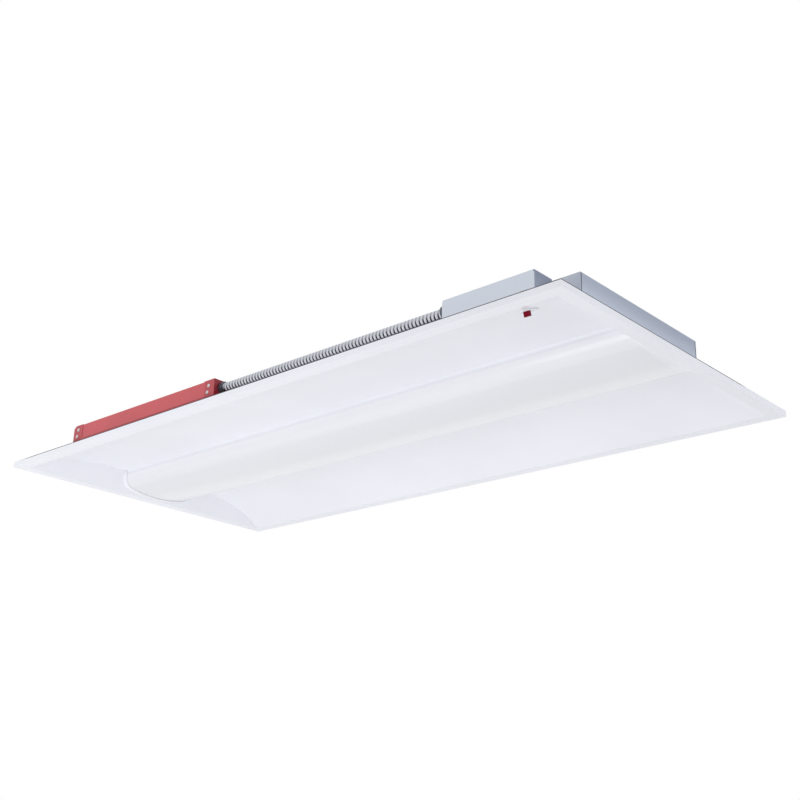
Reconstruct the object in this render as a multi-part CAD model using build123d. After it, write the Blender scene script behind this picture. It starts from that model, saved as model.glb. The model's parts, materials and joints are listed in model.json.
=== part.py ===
"""Recessed lay-in troffer light, 2 x 4 ft, with a centre lens and an emergency battery pack.

Millimetres. X runs along the long side, Y across it and Z up to the ceiling. The origin is the
centre of the face that rests on the ceiling grid. The side with the battery pack is the near
side, y < 0. A distance from the centre line is called s: it is |y| in a section.
"""

import math
import os

from build123d import *

# ---- driving dimensions -------------------------------------------------------------------
LENGTH = 1213.0  # over the flanges, along X
WIDTH = 603.0  # over the flanges, along Y
HEIGHT = 96.0  # from the ceiling grid to the top of the galvanised housing
SHEET = 0.8  # thickness of every folded steel sheet
FLANGE_WIDTH = 20.0
FLANGE_HEIGHT = 10.0
WALL_LEAN = 21.0  # how far an end wall leans in by its top edge
WALL_RISE = 5.0  # how far its top edge stands above the wings

COVE_RADIUS = 356.0  # each white wing is one long arc
COVE_CROWN_S = 120.0  # where the arc is highest
COVE_CROWN_Z = 39.0
COVE_INNER_S = 87.0  # where the arc ends beside the lens
RETURN_TOP = 46.0  # top of the wing's folded edge, which carries the lens and the tray
RETURN_S = 110.0
RETURN_RISER = 95.0  # where the tray turns up from the folded edge

LENS_HALF = 84.5
LENS_LOW = 3.0
LENS_WALL = 2.0
LENS_CORNER_RADIUS = 30.0
LENS_BOTTOM_RADIUS = 300.0
LENS_FLANGE_S = 93.0
LENS_FLANGE_X = 558.0
CAP_LENGTH = 11.0  # how far an end cap reaches over the lens
CAP_WALL = 1.2
CAP_GAP = 0.3

TRAY_TOP = 64.0
TRAY_HALF = 72.0
TRAY_SIDE_TOP = 50.0
TRAY_HIP_X = 541.0  # where its top turns down to each end
TRAY_END = 562.0
TRAY_END_TOP = 47.2
BOARD = (265.0, 24.0, 1.6)
BOARD_S = 32.0
BOARDS_PER_ROW = 4
LEDS_PER_BOARD = 4

HOUSING_HALF = 155.0  # galvanised housing: half width and half length
HOUSING_END = 539.0
FOOT = 15.0
SEAM = 1.6  # open seam between the housing's side and its end plate

BOX_X = (335.0, 496.0)  # wiring box on the near side
BOX_NEAR = -201.0
BOX_BACK = -155.1
BOX_RETURN = 8.0
HINGE_Y = -160.0
HINGE_Z = 93.0
PIN_RADIUS = 1.0
KNUCKLE_RADIUS = 1.9

PACK_X = (-568.5, -160.0)  # emergency battery pack
PACK_NEAR = -206.0
PACK_FAR = -157.0
PACK_LOW = 58.0
PACK_LIP = 70.0
CAP_X = 26.0  # length of the pack's end caps

CONDUIT_Y = -189.0
CONDUIT_Z = 82.2
CONDUIT_RADIUS = 7.75
CONDUIT_ROOT = 6.6
CONDUIT_BORE = 5.8
CONDUIT_PITCH = 7.1
THROAT_RADIUS = 8.6  # connector throat, in a hole 0.2 mm larger
KNOCKOUT_RADIUS = 11.1  # trade size 1/2 in, for the building supply

SWITCH_X = 505.5
SWITCH_S = 229.5
BUTTON = (9.6, 4.0)  # the key, along X and down the wing
BUTTON_SHIFT = 3.4  # from the bezel's centre towards the near flange
BUTTON_STAND = 7.0

CLIP_X = 430.0
CLIP_S = 231.0
CLIP_LENGTH = 88.0
CLIP_WIDTH = 14.0
POST_TOP = 42.0

FIT = 0.05  # running clearance of a pin, per side

WALL_X = LENGTH / 2 - FLANGE_WIDTH  # foot of each end wall
FLANGE_S = WIDTH / 2 - FLANGE_WIDTH
COVE_CENTRE_Z = COVE_CROWN_Z - COVE_RADIUS
WALL_TOP = COVE_CROWN_Z + WALL_RISE
LEAN = WALL_LEAN / WALL_TOP
LEANING_SHEET = SHEET * math.hypot(1, LEAN)  # an end wall's thickness along X

os.makedirs("parts", exist_ok=True)
volumes = {}


# ---- helpers ------------------------------------------------------------------------------
def save(name, shape):
    """Write one node's solids to its own file."""
    export_step(shape, f"parts/{name}.step")
    volumes[name] = shape.volume


def cove_z(s, lift=0.0):
    """Height of the cove at distance s, or of the surface that lies lift above it."""
    return COVE_CENTRE_Z + math.sqrt((COVE_RADIUS + lift) ** 2 - (s - COVE_CROWN_S) ** 2)


def cove_arc(s_from, s_to, lift=0.0):
    """The cove's arc between two distances, in the section plane."""
    middle = (s_from + s_to) / 2
    return ThreePointArc(*[(s, cove_z(s, lift)) for s in (s_from, middle, s_to)])


def folded(path, side=Side.RIGHT, thickness=SHEET):
    """The section of a folded sheet whose outer face follows path."""
    return make_face(offset(Wire(path.edges()), amount=thickness, side=side))


def along_x(section, x_from, x_to):
    """Extrude a section drawn in (y, z) along X."""
    return Pos(x_from, 0, 0) * extrude(Plane.YZ * section, amount=x_to - x_from)


def along_y(section, y_from, y_to):
    """Extrude a section drawn in (x, z) along Y."""
    return Pos(0, y_to, 0) * extrude(Plane.XZ * section, amount=y_to - y_from)


def block(x, y, z):
    """A block given by its lowest and highest x, y and z."""
    size = (x[1] - x[0], y[1] - y[0], z[1] - z[0])
    return Pos((x[0] + x[1]) / 2, (y[0] + y[1]) / 2, (z[0] + z[1]) / 2) * Box(*size)


def between_walls(inset=0.0):
    """Everything between the two leaning end walls, kept inset away from them along X."""
    low, high = -10.0, 60.0
    x_low, x_high = [WALL_X - inset - z * LEAN for z in (low, high)]
    corners = [(-x_low, low), (x_low, low), (x_high, high), (-x_high, high)]
    return along_y(make_face(Polyline(*corners, close=True)), -WIDTH / 2, WIDTH / 2)


def rod(radius, start, direction, length):
    """A round bar from a start point."""
    return Plane(origin=start, z_dir=direction) * extrude(Circle(radius), amount=length)


def spun(points):
    """A solid of revolution about Z: points are (radius, height)."""
    return revolve(Plane.XZ * make_face(Polyline(*points, close=True)), Axis.Z)


def turned(points, start, direction):
    """A turned piece that starts at a point and points in a direction."""
    return Plane(origin=start, z_dir=direction) * spun(points)


def flip_y(shape):
    return mirror(shape, about=Plane.XZ)


def flip_x(shape):
    return mirror(shape, about=Plane.YZ)


def group(solids):
    """Several separate solids that share one node."""
    return Compound(children=[solid for shape in solids for solid in shape.solids()])


def screw(seat, direction, shank, head=3.4, rise=1.6, radius=1.4):
    """Pan-head screw: seat is the face under its head, direction points out of the head."""
    points = [(0, -shank), (radius, -shank), (radius, 0), (head, 0), (head, rise), (0, rise)]
    return turned(points, seat, direction)


def hex_screw(seat, direction, shank, across=6.5, rise=2.6, radius=1.4):
    """Hexagon-head sheet-metal screw, placed like screw()."""
    plane = Plane(origin=seat, z_dir=direction)
    head = plane * extrude(RegularPolygon(across / 2, 6, major_radius=False), amount=rise)
    return head + plane * Pos(0, 0, -shank) * extrude(Circle(radius), amount=shank + 0.5)


# ---- white reflector wings ----------------------------------------------------------------
SCREW_HOLE = 1.5


def mitre_tool():
    """What is cut off a long flange so that it meets the end flange at 45 degrees."""
    reach = LENGTH / 2 - WIDTH / 2
    s_low, s_high, x_far = FLANGE_S - 6, WIDTH / 2 + 6, LENGTH / 2 + 30
    corners = [(reach + s_low, s_low), (reach + s_high, s_high), (x_far, s_high), (x_far, s_low)]
    return extrude(make_face(Polyline(*corners, close=True)), amount=40, both=True)


def wing():
    """One wing on the far side: lip, flange, cove and the folded edge beside the lens."""
    half = WIDTH / 2
    rim = folded(Polyline((half, FLANGE_HEIGHT), (half, 0), (FLANGE_S - 0.5, 0)))
    cut = mitre_tool()
    flange = along_x(rim, -LENGTH / 2, LENGTH / 2) - cut - flip_x(cut)
    cove = cove_arc(FLANGE_S, COVE_INNER_S)
    inner = (COVE_INNER_S, cove_z(COVE_INNER_S))
    edge = Polyline(inner, (COVE_INNER_S, RETURN_TOP), (RETURN_S, RETURN_TOP))
    reflector = along_x(folded(cove + edge), -WALL_X, WALL_X) & between_walls()
    return flange + reflector


far_wing = wing()
switch_slope = math.degrees(math.asin((SWITCH_S - COVE_CROWN_S) / COVE_RADIUS))
switch_frame = Plane(
    origin=(SWITCH_X, -SWITCH_S, cove_z(SWITCH_S)),
    x_dir=(1, 0, 0),
    z_dir=(0, math.sin(math.radians(switch_slope)), -math.cos(math.radians(switch_slope))),
)
BARREL_RADIUS = 8.0
near_wing = flip_y(far_wing) - switch_frame * Cylinder(BARREL_RADIUS + 0.2, 20)
save("far_wing", far_wing)
save("near_wing", near_wing)


# ---- white end plates ---------------------------------------------------------------------
def end_plate():
    """End plate at +X: lip, mitred flange and a leaning wall cut to the cove's outline."""
    half = LENGTH / 2
    path = Polyline((half, FLANGE_HEIGHT), (half, 0), (WALL_X, 0), (WALL_X - WALL_LEAN, WALL_TOP))
    sheet = along_y(folded(path), -WIDTH / 2, WIDTH / 2)
    flange = sheet & extrude(mitre_keep(), amount=WALL_TOP, both=True)
    edge = FLANGE_S - 0.6
    foot = cove_z(edge, WALL_RISE)
    sides = Polyline((edge, foot), (edge, 0), (-edge, 0), (-edge, foot))
    far = cove_arc(edge, COVE_CROWN_S, WALL_RISE)
    top = Line((COVE_CROWN_S, WALL_TOP), (-COVE_CROWN_S, WALL_TOP))
    outline = make_face(sides + far + top + mirror(far, about=Plane.YZ))
    return flange + (sheet & along_x(outline, WALL_X - 2 * WALL_LEAN, WALL_X + SHEET))


def mitre_keep():
    """The area over an end flange, bounded by its two mitres."""
    inner, outer = WALL_X - 1, LENGTH / 2
    s_inner, s_outer = FLANGE_S - 1, WIDTH / 2
    corners = [(inner, -s_inner), (outer, -s_outer), (outer, s_outer), (inner, s_inner)]
    return make_face(Polyline(*corners, close=True))


right_end_plate = end_plate()
save("right_end_plate", right_end_plate)
save("left_end_plate", flip_x(right_end_plate))


# ---- lens and its end caps ----------------------------------------------------------------
def lens_half_path(grow, top):
    """Outside of the lens from its top edge at +s down to the middle, grown outward."""
    corner, bottom = LENS_CORNER_RADIUS + grow, LENS_BOTTOM_RADIUS + grow
    corner_s = LENS_HALF - LENS_CORNER_RADIUS
    bottom_z = LENS_LOW + LENS_BOTTOM_RADIUS
    reach = LENS_BOTTOM_RADIUS - LENS_CORNER_RADIUS
    corner_z = bottom_z - math.sqrt(reach**2 - corner_s**2)
    turn = math.atan2(bottom_z - corner_z, corner_s)  # direction of the point where both arcs meet
    join = (corner_s + corner * math.cos(-turn), corner_z + corner * math.sin(-turn))
    middle = (corner_s + corner * math.cos(-turn / 2), corner_z + corner * math.sin(-turn / 2))
    start = (corner_s + corner, corner_z)
    half_turn = (turn + math.pi / 2) / 2
    belly = (bottom * math.cos(half_turn), bottom_z - bottom * math.sin(half_turn))
    low = (0.0, bottom_z - bottom)
    side = Line((corner_s + corner, top), start)
    return side + ThreePointArc(start, middle, join) + ThreePointArc(join, belly, low)


def lens_face(grow, top):
    """Section of the lens, grown outward and closed by a straight top."""
    half = lens_half_path(grow, top)
    edge = LENS_HALF + grow
    outline = half + mirror(half, about=Plane.YZ) + Line((-edge, top), (edge, top))
    return make_face(Wire(outline.edges()))


def lens():
    """The tub-shaped diffuser, open at the top, with an edge that lies on the wings."""
    section = lens_face(0.0, RETURN_TOP) - lens_face(-LENS_WALL, RETURN_TOP)
    tub = along_x(section, -WALL_X, WALL_X) & between_walls(LEANING_SHEET + CAP_GAP)
    inner = LENS_HALF - LENS_WALL
    for side in (-1, 1):
        y = sorted((side * inner, side * LENS_FLANGE_S))
        tub += block((-LENS_FLANGE_X, LENS_FLANGE_X), y, (RETURN_TOP, RETURN_TOP + LENS_WALL))
    return tub


def lens_end_cap():
    """Cap at +X: a web against the end wall and a rim that goes round the lens."""
    top = RETURN_TOP - CAP_WALL
    reach = (WALL_X - 2 * WALL_LEAN, WALL_X)
    outer = lens_face(CAP_GAP + CAP_WALL, top)
    rim = along_x(outer - lens_face(CAP_GAP, top), *reach)
    rim &= between_walls() - between_walls(CAP_LENGTH)
    web = along_x(outer, *reach) & (between_walls() - between_walls(LEANING_SHEET))
    return rim + web


save("lens", lens())
right_cap = lens_end_cap()
save("lens_end_cap_right", right_cap)
save("lens_end_cap_left", flip_x(right_cap))


# ---- light engine above the lens ----------------------------------------------------------
def tray_envelope(inset=0.0):
    """Everything under the tray's hipped outline, drawn in at both ends."""
    end, hip, top = TRAY_END - inset, TRAY_HIP_X - inset, TRAY_TOP + SHEET
    right = [(end, 0), (end, TRAY_END_TOP), (hip, top)]
    left = [(-x, z) for x, z in reversed(right)]
    return along_y(make_face(Polyline(*right, *left, close=True)), -RETURN_S, RETURN_S)


def led_tray():
    """White tray with sloping ends that closes the optical chamber and carries the boards."""
    right = [(RETURN_RISER, RETURN_TOP), (RETURN_RISER, TRAY_SIDE_TOP), (TRAY_HALF, TRAY_TOP)]
    arch = right + [(-y, z) for y, z in reversed(right)]
    path = Polyline((RETURN_S, RETURN_TOP), *arch, (-RETURN_S, RETURN_TOP))
    shell = along_x(folded(path), -TRAY_END, TRAY_END) & tray_envelope()
    slope = (TRAY_END - TRAY_HIP_X) / (TRAY_TOP + SHEET - TRAY_END_TOP)
    ends = tray_envelope() - tray_envelope(SHEET * math.hypot(1, slope))
    return shell + (along_x(make_face(Polyline(*arch, close=True)), -TRAY_END, TRAY_END) & ends)


def led_boards(side):
    """One row of boards with their LEDs, hung under the tray."""
    length, width, thick = BOARD
    pitch = length + 3
    boards = []
    for index in range(BOARDS_PER_ROW):
        x = (index - (BOARDS_PER_ROW - 1) / 2) * pitch
        board = Pos(x, side * BOARD_S, TRAY_TOP - thick / 2) * Box(length, width, thick)
        for led in range(LEDS_PER_BOARD):
            led_x = x + (led - (LEDS_PER_BOARD - 1) / 2) * length / LEDS_PER_BOARD
            board += Pos(led_x, side * BOARD_S, TRAY_TOP - thick - 0.35) * Box(3.5, 2.8, 0.7)
        boards.append(board)
    return group(boards)


def led_driver():
    """Driver in its can, with a notched mounting ear at each end and a lead block."""
    base = TRAY_TOP + SHEET
    can = fillet(block((-190, 130), (-17, 17), (base, base + 22)).edges().filter_by(Axis.X), 2)
    ears = block((-205, 145), (-11, 11), (base, base + 1.2))
    for x in (-203, 143):
        ears -= block((x - 5, x + 5), (-2.2, 2.2), (base - 1, base + 2))
    leads = block((130, 138), (-12, 12), (base + 1.2, base + 14))
    return can + ears + leads


save("led_tray", led_tray())
save("led_boards_near", led_boards(-1))
save("led_boards_far", led_boards(1))
save("led_driver", led_driver())


# ---- galvanised housing -------------------------------------------------------------------
HANGER_HOLES = [(x, y) for x in (-420, 420) for y in (-120, 120)]
HANGER_RADIUS = 3.5
WIRE_HOLE = (400.0, 75.0)
WIRE_HOLE_RADIUS = 9.5
END_FOLD = 12.0
BRACKET_X = (-500.0, -235.0)
BRACKET_WIDTH = 30.0
TOP_SCREWS = [(side * 533.0, y) for side in (-1, 1) for y in (-90, 90)]


def wire_hole():
    """Through the housing's near side and the wiring box that stands against it."""
    return rod(WIRE_HOLE_RADIUS, (WIRE_HOLE[0], -150, WIRE_HOLE[1]), (0, -1, 0), 8)


def housing():
    """Inverted channel over the tray: top, two sides and feet that follow the wings."""
    lift = 2 * SHEET
    half, foot_s = HOUSING_HALF, HOUSING_HALF + FOOT
    foot_z = cove_z(half, lift)
    left = mirror(cove_arc(foot_s, half, lift), about=Plane.YZ)
    sides = Polyline((-half, foot_z), (-half, HEIGHT), (half, HEIGHT), (half, foot_z))
    right = cove_arc(half, foot_s, lift)
    shell = along_x(folded(left + sides + right), -HOUSING_END, HOUSING_END)
    for x, y in HANGER_HOLES:
        shell -= Pos(x, y, HEIGHT) * Cylinder(HANGER_RADIUS, 6)
    for x, y in TOP_SCREWS:
        shell -= Pos(x, y, HEIGHT) * Cylinder(SCREW_HOLE, 6)
    return shell - wire_hole()


def housing_end():
    """End plate at +X, notched for the tray, with folds under the top and beside the sides."""
    half = HOUSING_HALF - SHEET - SEAM
    top = HEIGHT - SHEET
    gap, riser_gap = 0.4, 1.5
    lift = SHEET + gap
    lip_z = RETURN_TOP + lift
    edge_s, riser_s = RETURN_S + gap, RETURN_RISER + riser_gap
    notch = [(edge_s, cove_z(edge_s, lift)), (edge_s, lip_z), (riser_s, lip_z)]
    notch += [(riser_s, TRAY_SIDE_TOP + 1), (TRAY_HALF + 1, TRAY_TOP + lift), (0, TRAY_TOP + lift)]
    right = Polyline((0, top), (half, top), (half, cove_z(half, lift)))
    right += cove_arc(half, edge_s, lift) + Polyline(*notch)
    outline = make_face(right + mirror(right, about=Plane.YZ))
    plate = along_x(outline, HOUSING_END - SHEET, HOUSING_END)
    inner = HOUSING_END - END_FOLD
    plate += block((inner, HOUSING_END), (-half, half), (top - SHEET, top))
    for side in (-1, 1):
        edge = sorted((side * half, side * (half - SHEET)))
        plate += block((inner, HOUSING_END), edge, (cove_z(half, lift) + 2, top))
    for x, y in TOP_SCREWS:
        plate -= Pos(x, y, top) * Cylinder(SCREW_HOLE, 6)
    return plate


housing_right = housing_end()
SUPPLY = (-60.0, 80.0)  # y and z of the supply opening in the left end plate
supply_hole = rod(KNOCKOUT_RADIUS, (-HOUSING_END - 5, *SUPPLY), (1, 0, 0), 10)
save("housing", housing())
save("housing_end_right", housing_right)
save("housing_end_left", flip_x(housing_right) - supply_hole)
save("housing_screws", group([hex_screw((x, y, HEIGHT), (0, 0, 1), 4) for x, y in TOP_SCREWS]))


# ---- wiring box ---------------------------------------------------------------------------
KNUCKLE_X = (365.0, 466.0)
KNUCKLE_LENGTH = 10.0
PIN_LENGTH = 2 * KNUCKLE_LENGTH + 0.3
CORNER_NOTCH = 1.6
COVER_LIP = (385.0, 445.0)
FINGER_TAB = (400.0, 430.0)


def below_wing_back(lift, s_far):
    """Everything on the near side, out to s_far, that is under the wing's back raised by lift."""
    s_near, low = COVE_INNER_S, -20
    near, far = (s_near, cove_z(s_near, lift)), (s_far, cove_z(s_far, lift))
    sides = Polyline(near, (s_near, low), (s_far, low), far)
    section = make_face(cove_arc(s_far, s_near, lift) + sides)
    return flip_y(along_x(section, -LENGTH / 2, LENGTH / 2))


def wiring_box():
    """Four walls on the wing's back, a folded rim with notched corners and hinge knuckles."""
    x_low, x_high = BOX_X
    rim_top = HEIGHT - SHEET
    box = block(BOX_X, (BOX_NEAR, BOX_BACK), (20, rim_top))
    box -= block((x_low + SHEET, x_high - SHEET), (BOX_NEAR + SHEET, BOX_BACK - SHEET), (0, HEIGHT))
    rim = block(BOX_X, (BOX_NEAR, BOX_BACK - 6), (rim_top - SHEET, rim_top))
    mouth_x = (x_low + BOX_RETURN, x_high - BOX_RETURN)
    box += rim - block(mouth_x, (BOX_NEAR + BOX_RETURN, BOX_BACK + 1), (80, 110))
    box -= block((x_low - 1, x_high + 1), (HINGE_Y, BOX_BACK + 1), (HINGE_Z - 0.2, 110))
    for x in BOX_X:
        box -= Pos(x, BOX_NEAR, rim_top) * Box(2 * CORNER_NOTCH, 2 * CORNER_NOTCH, 4)
    box -= below_wing_back(SHEET, FLANGE_S - 10)
    box -= below_wing_back(2 * SHEET, HOUSING_HALF + FOOT + 0.5)
    foot = mirror(cove_arc(10 - BOX_NEAR, -BOX_NEAR - 0.4, 2 * SHEET), about=Plane.YZ)
    box += along_x(folded(foot), x_low + 12, x_high - 12)
    for x in KNUCKLE_X:
        z_arm = (HINGE_Z - KNUCKLE_RADIUS, HINGE_Z - 0.6)
        arm = rod(KNUCKLE_RADIUS, (x, HINGE_Y, HINGE_Z), (1, 0, 0), KNUCKLE_LENGTH)
        arm += block((x, x + KNUCKLE_LENGTH), (HINGE_Y, BOX_BACK - SHEET), z_arm)
        box += arm - rod(PIN_RADIUS, (x - 1, HINGE_Y, HINGE_Z), (1, 0, 0), KNUCKLE_LENGTH + 2)
    box -= rod(THROAT_RADIUS + 0.2, (x_low - 5, CONDUIT_Y, CONDUIT_Z), (1, 0, 0), 10)
    return box - wire_hole()


def box_cover():
    """Flat cover with rolled knuckles at its back edge, a snap lip and a finger tab."""
    x_low, x_high = BOX_X
    z = (HEIGHT - SHEET, HEIGHT)
    cover = block((x_low + 0.4, x_high - 0.4), (BOX_NEAR + 0.3, HINGE_Y), z)
    lip_y = BOX_NEAR + BOX_RETURN + 0.6
    cover += block(COVER_LIP, (lip_y, lip_y + SHEET), (90, HEIGHT))
    tab = block(FINGER_TAB, (BOX_NEAR - 3, BOX_NEAR + 1), z)
    cover += chamfer(tab.edges().filter_by(Axis.Z).sort_by(Axis.Y)[:2], 2)
    for x in KNUCKLE_X:
        start = x + KNUCKLE_LENGTH + 0.3
        span = (start, start + KNUCKLE_LENGTH)
        curl = rod(KNUCKLE_RADIUS, (start, HINGE_Y, HINGE_Z), (1, 0, 0), KNUCKLE_LENGTH)
        curl += block(span, (HINGE_Y - 1.5, HINGE_Y + 1.2), (HINGE_Z, HEIGHT - SHEET))
        cover += curl - rod(PIN_RADIUS + FIT, (start - 1, HINGE_Y, HINGE_Z), (1, 0, 0), KNUCKLE_LENGTH + 2)
    return cover


def hinge_pins():
    starts = [(x, HINGE_Y, HINGE_Z) for x in KNUCKLE_X]
    return group([rod(PIN_RADIUS, start, (1, 0, 0), PIN_LENGTH) for start in starts])


def terminal_block():
    """Three-pole push-in connector on the wiring box's back wall."""
    back = BOX_BACK - SHEET
    body = block((425, 455), (back - 18, back), (56, 74))
    for index in range(3):
        x = 430 + index * 10
        body -= block((x - 1.7, x + 1.7), (back - 19, back - 9), (67, 70.5))
        body -= block((x - 2.2, x + 2.2), (back - 19, back - 14), (59, 64))
    return body


def wire_bushing():
    """Snap bushing in the hole between the wiring box and the housing."""
    bore, wall, rim = 6.8, WIRE_HOLE_RADIUS - 0.1, 11.5
    outer = BOX_BACK - SHEET
    depth = SHEET - HOUSING_HALF - outer + 2.5
    points = [(bore, -2), (rim, -2), (rim, 0), (wall, 0), (wall, depth), (bore, depth)]
    return turned(points, (WIRE_HOLE[0], outer, WIRE_HOLE[1]), (0, 1, 0))


def ground_screw():
    """Hexagonal washer-head grounding screw on the wiring box's back wall."""
    seat = Plane(origin=(380, BOX_BACK - SHEET, 50), z_dir=(0, -1, 0))
    return seat * (extrude(Circle(5), amount=1) + Pos(0, 0, 1) * extrude(RegularPolygon(4, 6), amount=3))


save("wiring_box", wiring_box())
save("wiring_box_cover", box_cover())
save("cover_hinge_pins", hinge_pins())
save("terminal_block", terminal_block())
save("wire_bushing", wire_bushing())
save("ground_screw", ground_screw())


# ---- emergency battery pack ---------------------------------------------------------------
PACK_TOP = HEIGHT - SHEET  # top of the cover; the end caps reach HEIGHT
PACK_SCREWS = [(-555.0, 86.8), (-557.5, 74.4), (-173.4, 85.6), (-176.2, 74.2)]
PACK_SCREW_HEAD = 3.2
CORNER_CUT = (7.0, 5.0)  # along X and down, off the left cap's top corner


def pack_screw_holes():
    seats = [(x, PACK_NEAR - 5, z) for x, z in PACK_SCREWS]
    return Part() + [rod(SCREW_HOLE, seat, (0, 1, 0), 12) for seat in seats]


def pack_base():
    """Channel that the pack stands on, with a lip outside each side of the cover."""
    near, far = PACK_NEAR - SHEET, PACK_FAR + SHEET
    path = Polyline((near, PACK_LIP), (near, PACK_LOW), (far, PACK_LOW), (far, PACK_LIP))
    return along_x(folded(path, Side.LEFT), *PACK_X)


def corner_wedge(scale):
    """The left cap's cut corner, as a prism across the pack."""
    x, z = PACK_X[0] - SHEET, HEIGHT
    across, down = CORNER_CUT[0] * scale, CORNER_CUT[1] * scale
    triangle = make_face(Polyline((x, z - down), (x + across, z), (x, z), close=True))
    return along_y(triangle, PACK_NEAR - 5, PACK_FAR + 5)


def pack_cover():
    """Inverted channel over the cells and the circuit board."""
    low = PACK_LOW + 2
    path = Polyline((PACK_NEAR, low), (PACK_NEAR, PACK_TOP), (PACK_FAR, PACK_TOP), (PACK_FAR, low))
    return along_x(folded(path), *PACK_X) - pack_screw_holes() - corner_wedge(1.5)


def pack_end_cap(x_end, outward):
    """Cap that closes one end and wraps the cover's top and sides."""
    near, far = PACK_NEAR - SHEET, PACK_FAR + SHEET
    low = PACK_LIP + 0.4
    path = Polyline((near, low), (near, HEIGHT), (far, HEIGHT), (far, low))
    cap = along_x(folded(path), *sorted((x_end, x_end - outward * CAP_X)))
    cap += block(sorted((x_end, x_end + outward * SHEET)), (near, far), (PACK_LOW, HEIGHT))
    return cap - pack_screw_holes()


def left_pack_cap():
    """The cap with its top corner cut off and closed by a sloping face."""
    x, z = PACK_X[0] - SHEET, HEIGHT
    slope = folded(Polyline((x, z - CORNER_CUT[1]), (x + CORNER_CUT[0], z)))
    face = along_y(slope, PACK_NEAR - SHEET, PACK_FAR + SHEET)
    return pack_end_cap(PACK_X[0], -1) - corner_wedge(1.0) + face


conduit_entry = rod(THROAT_RADIUS + 0.2, (PACK_X[1] - 5, CONDUIT_Y, CONDUIT_Z), (1, 0, 0), 12)
save("pack_base", pack_base())
save("pack_cover", pack_cover())
save("pack_end_cap_left", left_pack_cap())
save("pack_end_cap_right", pack_end_cap(PACK_X[1], 1) - conduit_entry)

CELLS = 4
CELL_RADIUS = 14.0
CELL_LENGTH = 60.0


def battery_cells():
    """Row of rechargeable cells, end to end."""
    y = PACK_FAR - SHEET - CELL_RADIUS - 1.5
    z = PACK_LOW + SHEET + CELL_RADIUS
    first, pitch = PACK_X[0] + 6, CELL_LENGTH + 0.5
    starts = [(first + index * pitch, y, z) for index in range(CELLS)]
    return group([rod(CELL_RADIUS, start, (1, 0, 0), CELL_LENGTH) for start in starts])


def pack_board():
    """Charger and inverter board on four stand-offs, with its largest components."""
    x_low, x_high, y_low, y_high = -285.0, -180.0, -200.0, -164.0
    floor = PACK_LOW + SHEET
    top = floor + 7.6
    board = block((x_low, x_high), (y_low, y_high), (floor + 6, top))
    for x in (x_low + 5, x_high - 5):
        for y in (y_low + 5, y_high - 5):
            board += Pos(x, y, floor + 3) * Box(5, 5, 6)
    board += block((x_low + 14, x_low + 36), (y_low + 8, y_low + 28), (top, floor + 25))
    for index in range(2):
        board += Pos(x_low + 52 + index * 15, y_high - 12, top + 8) * Cylinder(5, 16)
    board += block((x_high - 14, x_high - 6), (y_low + 4, y_low + 30), (top, floor + 17))
    return board


def pack_brackets():
    """Two galvanised shelves, spot-welded to the housing's side, that the pack stands on."""
    brackets = []
    path = Polyline((-HOUSING_HALF, 42), (-HOUSING_HALF, PACK_LOW), (PACK_NEAR - 2, PACK_LOW))
    wall, under = -HOUSING_HALF - 0.9, PACK_LOW - 0.9
    cheek = make_face(Polyline((wall, 44), (wall, under), (-192, under), close=True))
    for x in BRACKET_X:
        low = x - BRACKET_WIDTH / 2
        shelf = along_x(folded(path, Side.LEFT, 1.0), low, low + BRACKET_WIDTH)
        brackets.append(shelf + along_x(cheek, low, low + 1))
    return group(brackets)


save("battery_cells", battery_cells())
save("pack_circuit_board", pack_board())
save("pack_brackets", pack_brackets())
seats = [(x, PACK_NEAR - SHEET, z) for x, z in PACK_SCREWS]
save("pack_screws", group([screw(seat, (0, -1, 0), 3.5, PACK_SCREW_HEAD, 1.4) for seat in seats]))


# ---- flexible conduit ---------------------------------------------------------------------
CONNECTOR = 9.0  # how far the connector stands out of the pack
BOX_CONNECTOR = 6.0
SEAT = 3.2  # how far a connector's inner step keeps the hose off the sheet
RIB_GAP = 1.0  # plain hose between a connector and the nearest rib
HOSE_START = PACK_X[1] + SHEET + SEAT
HOSE_END = BOX_X[0] - SEAT
NUT = 3.0


def conduit_circle(x, radius):
    return Plane(origin=(x, CONDUIT_Y, CONDUIT_Z), z_dir=(1, 0, 0)) * Circle(radius)


def flexible_conduit():
    """Interlocked steel hose: a bore, and ribs that are a ruled loft through circles."""
    first = PACK_X[1] + SHEET + CONNECTOR + RIB_GAP
    last = BOX_X[0] - BOX_CONNECTOR - RIB_GAP
    ribs = round((last - first) / CONDUIT_PITCH)
    pitch = (last - first) / ribs
    circles = [conduit_circle(HOSE_START, CONDUIT_ROOT)]
    for index in range(ribs):
        x = first + index * pitch
        circles += [conduit_circle(x + 0.2, CONDUIT_ROOT), conduit_circle(x + 1.6, CONDUIT_RADIUS)]
        circles += [conduit_circle(x + 4.9, CONDUIT_RADIUS), conduit_circle(x + 6.3, CONDUIT_ROOT)]
    circles.append(conduit_circle(HOSE_END, CONDUIT_ROOT))
    bore = rod(CONDUIT_BORE, (HOSE_START - 1, CONDUIT_Y, CONDUIT_Z), (1, 0, 0), HOSE_END - HOSE_START + 2)
    print("conduit", ribs, "ribs, pitch", round(pitch, 2))
    return loft(circles, ruled=True) - bore


def connector(x_face, outward, length):
    """Conduit connector with a throat through the sheet and a barrel over the hose."""
    throat, barrel, inside = THROAT_RADIUS, 10.4, CONDUIT_ROOT + FIT
    points = [(CONDUIT_BORE, -8), (throat, -8), (throat, 0), (barrel, 0), (barrel, length)]
    points += [(inside, length), (inside, 3), (CONDUIT_BORE, 3)]
    return turned(points, (x_face, CONDUIT_Y, CONDUIT_Z), (outward, 0, 0))


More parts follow.
